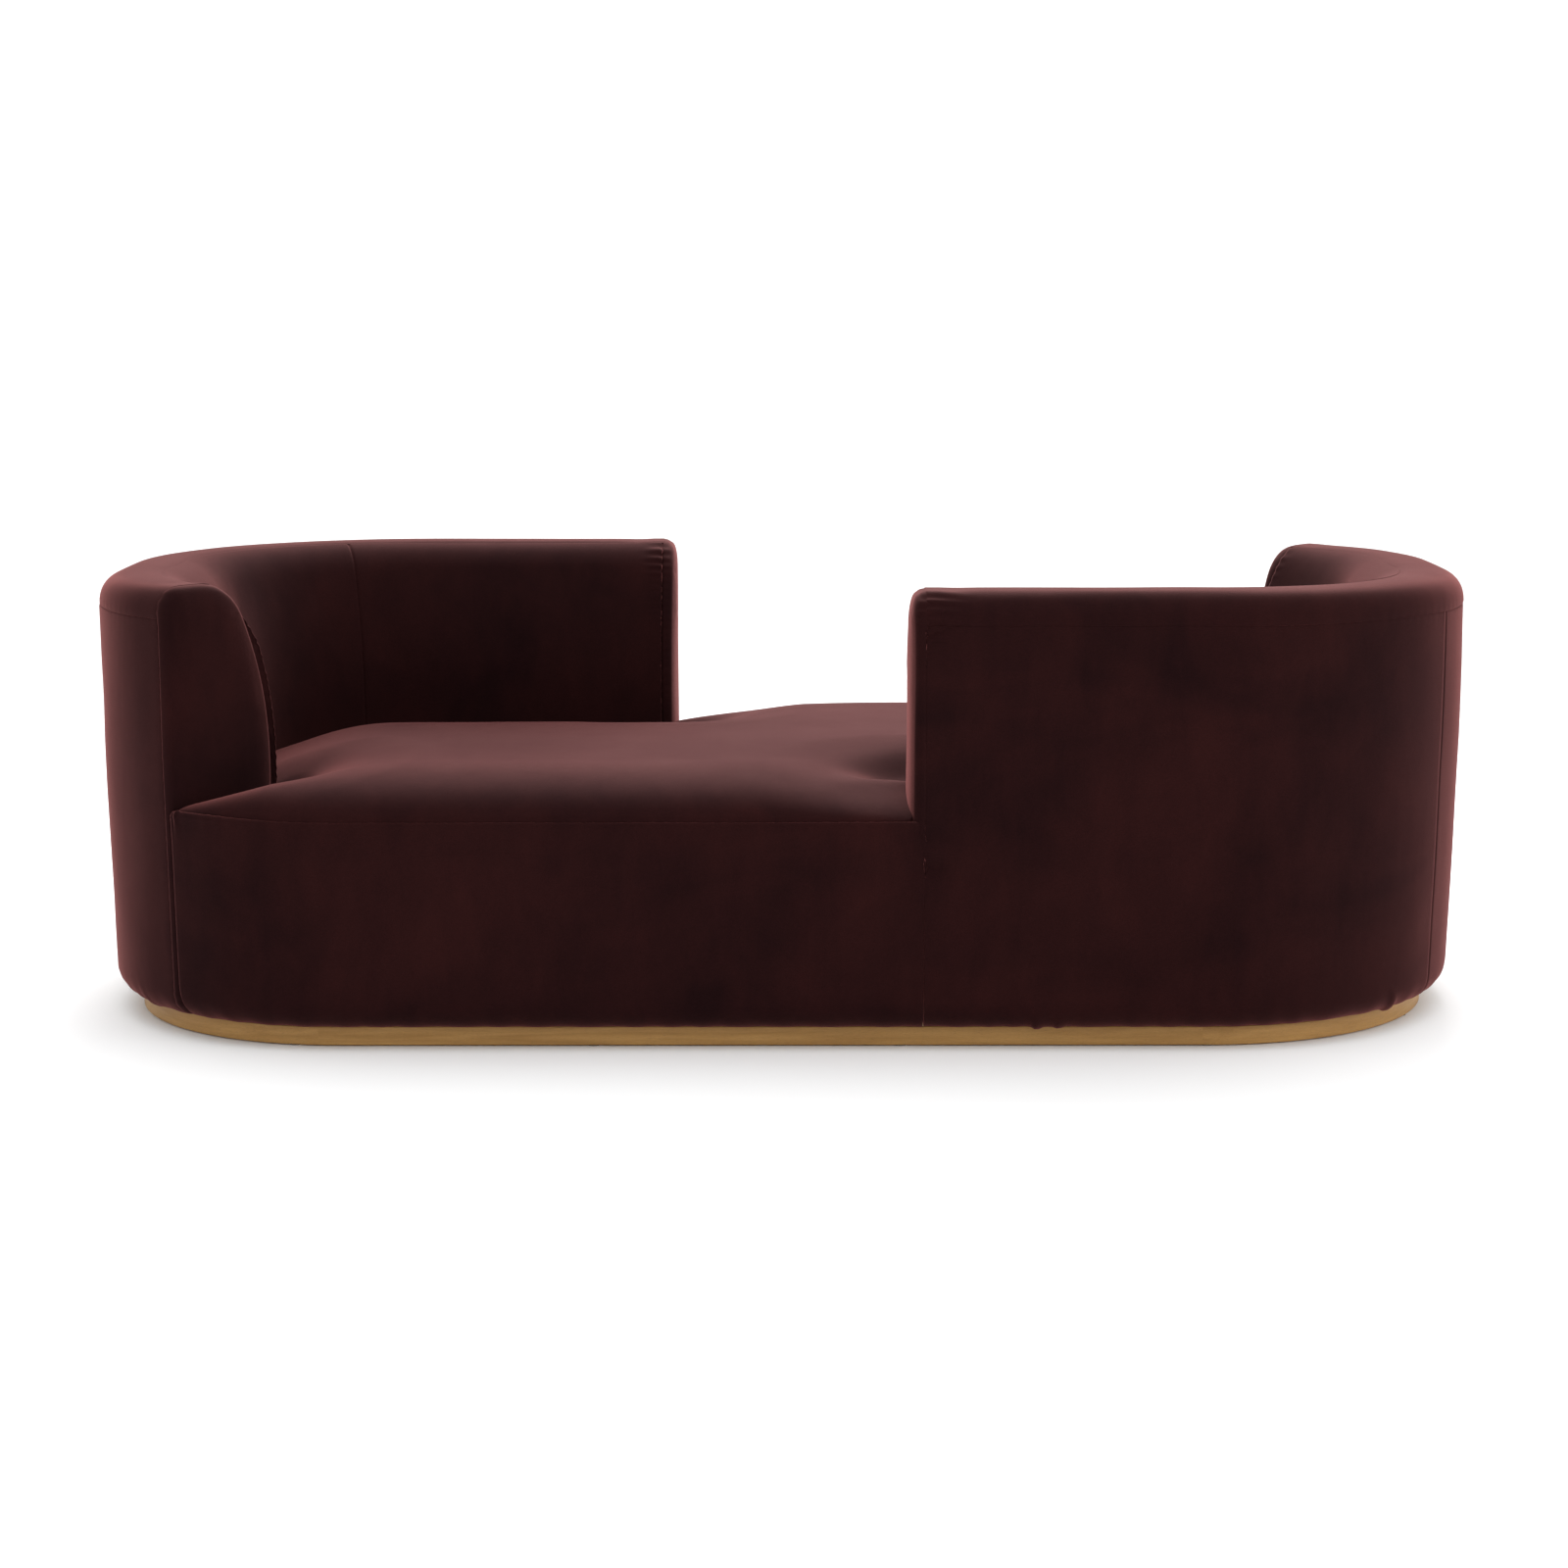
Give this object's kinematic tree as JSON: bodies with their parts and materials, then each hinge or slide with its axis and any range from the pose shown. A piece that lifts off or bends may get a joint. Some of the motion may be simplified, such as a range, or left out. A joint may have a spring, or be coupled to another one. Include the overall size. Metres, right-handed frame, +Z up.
{
  "type": "two-sided daybed",
  "caption": "Two-sided daybed: one long upholstered seat with a curled back on each side, turned half a turn apart, on a low wooden plinth.",
  "frame": {"origin": "on the floor, at the middle of the daybed's outline", "axes": "+X along the daybed's length, towards the end whose back stands at the front; +Y to the rear; +Z up"},
  "size_m": [2.38, 1.09, 0.762],
  "materials": {
    "velvet": "dark burgundy velvet, short pile",
    "plinth_wood": "honey-brown stained wood, satin",
    "plywood": "unfinished plywood",
    "frame_hardwood": "unfinished hardwood",
    "hardboard": "brown hardboard",
    "foam": "polyurethane foam",
    "wadding": "polyester wadding and felt",
    "lining": "black non-woven lining",
    "spring_steel": "oil-tempered wire",
    "screw_steel": "zinc-plated steel",
    "glide_plastic": "dark moulded plastic"
  },
  "bodies": {
    "root": {"base_cross_rails": "frame_hardwood", "base_ring": "plywood", "brace_screws": "screw_steel", "dust_cover": "lining", "edge_boards": "hardboard", "edge_cap_rails": "plywood", "edge_ribs": "plywood", "floor_glides": "glide_plastic", "front_edge_foam": "foam", "front_panel_cover": "velvet", "left_back_band_cover": "velvet", "left_back_inner_board": "hardboard", "left_back_inner_cover": "velvet", "left_back_inner_foam": "foam", "left_back_outer_board": "hardboard", "left_back_outer_cover": "velvet", "left_back_outer_foam": "foam", "left_back_ribs": "plywood", "left_back_top_foam": "foam", "left_back_top_plate": "plywood", "left_mid_end_cover": "velvet", "left_mid_end_foam": "foam", "left_wing_end_cover": "velvet", "left_wing_end_foam": "foam", "plinth_cross_braces": "frame_hardwood", "plinth_dowels": "frame_hardwood", "plinth_front_rail": "plinth_wood", "plinth_joint_blocks": "frame_hardwood", "plinth_left_end": "plinth_wood", "plinth_rear_rail": "plinth_wood", "plinth_right_end": "plinth_wood", "rear_edge_foam": "foam", "rear_panel_cover": "velvet", "rib_screws": "screw_steel", "right_back_band_cover": "velvet", "right_back_inner_board": "hardboard", "right_back_inner_cover": "velvet", "right_back_inner_foam": "foam", "right_back_outer_board": "hardboard", "right_back_outer_cover": "velvet", "right_back_outer_foam": "foam", "right_back_ribs": "plywood", "right_back_top_foam": "foam", "right_back_top_plate": "plywood", "right_mid_end_cover": "velvet", "right_mid_end_foam": "foam", "right_wing_end_cover": "velvet", "right_wing_end_foam": "foam", "seat_foam_core": "foam", "seat_foam_crown": "foam", "seat_stretchers": "frame_hardwood", "seat_top_cover": "velvet", "seat_wadding": "wadding", "sinuous_springs": "spring_steel", "spring_clips": "spring_steel", "spring_insulator": "wadding", "spring_rail": "frame_hardwood", "spring_tie_wires": "spring_steel", "stretcher_posts": "frame_hardwood"}
  },
  "joints": []
}
